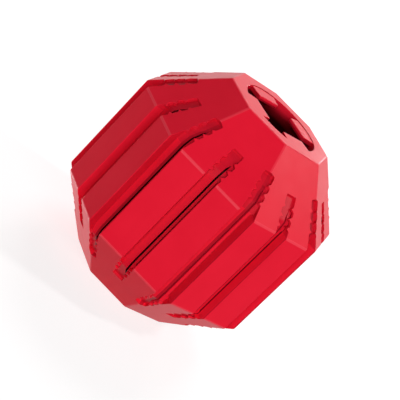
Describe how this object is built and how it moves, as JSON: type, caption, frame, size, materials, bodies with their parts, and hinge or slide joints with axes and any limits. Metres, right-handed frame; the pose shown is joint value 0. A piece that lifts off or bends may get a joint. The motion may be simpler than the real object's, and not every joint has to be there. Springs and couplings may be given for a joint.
{
  "type": "treat dispensing ball",
  "caption": "Hollow faceted rubber ball with toothed treat grooves, a mouth with springy tabs at one end and a small vent at the other, for dropping treats as a dog rolls it.",
  "frame": {"origin": "centre of the vent end face, on which the ball stands", "axes": "+Z along the ball's axis from the vent to the mouth; +X and +Y through the middles of facets"},
  "size_m": [0.076, 0.076, 0.0766],
  "materials": {
    "red_rubber": "smooth moulded satin"
  },
  "bodies": {
    "ball": {"mouth_half": "red_rubber", "vent_half": "red_rubber"},
    "tab_1": {"mouth_tab_1": "red_rubber"},
    "tab_2": {"mouth_tab_2": "red_rubber"},
    "tab_3": {"mouth_tab_3": "red_rubber"},
    "tab_4": {"mouth_tab_4": "red_rubber"}
  },
  "joints": [
    {"name": "tab_1_bend", "type": "hinge", "parent": "ball", "child": "tab_1", "pos_m": [0.01226, 0.0014, 0.0753], "axis": [0.1132, -0.9936, 0], "range_deg": [-40, 60], "stiffness_Nm_per_rad": 0.01},
    {"name": "tab_2_bend", "type": "hinge", "parent": "ball", "child": "tab_2", "pos_m": [-0.0014, 0.01226, 0.0753], "axis": [0.9936, 0.1132, 0], "range_deg": [-40, 60], "stiffness_Nm_per_rad": 0.01},
    {"name": "tab_3_bend", "type": "hinge", "parent": "ball", "child": "tab_3", "pos_m": [-0.01226, -0.0014, 0.0753], "axis": [-0.1132, 0.9936, 0], "range_deg": [-40, 60], "stiffness_Nm_per_rad": 0.01},
    {"name": "tab_4_bend", "type": "hinge", "parent": "ball", "child": "tab_4", "pos_m": [0.0014, -0.01226, 0.0753], "axis": [-0.9936, -0.1132, 0], "range_deg": [-40, 60], "stiffness_Nm_per_rad": 0.01}
  ]
}
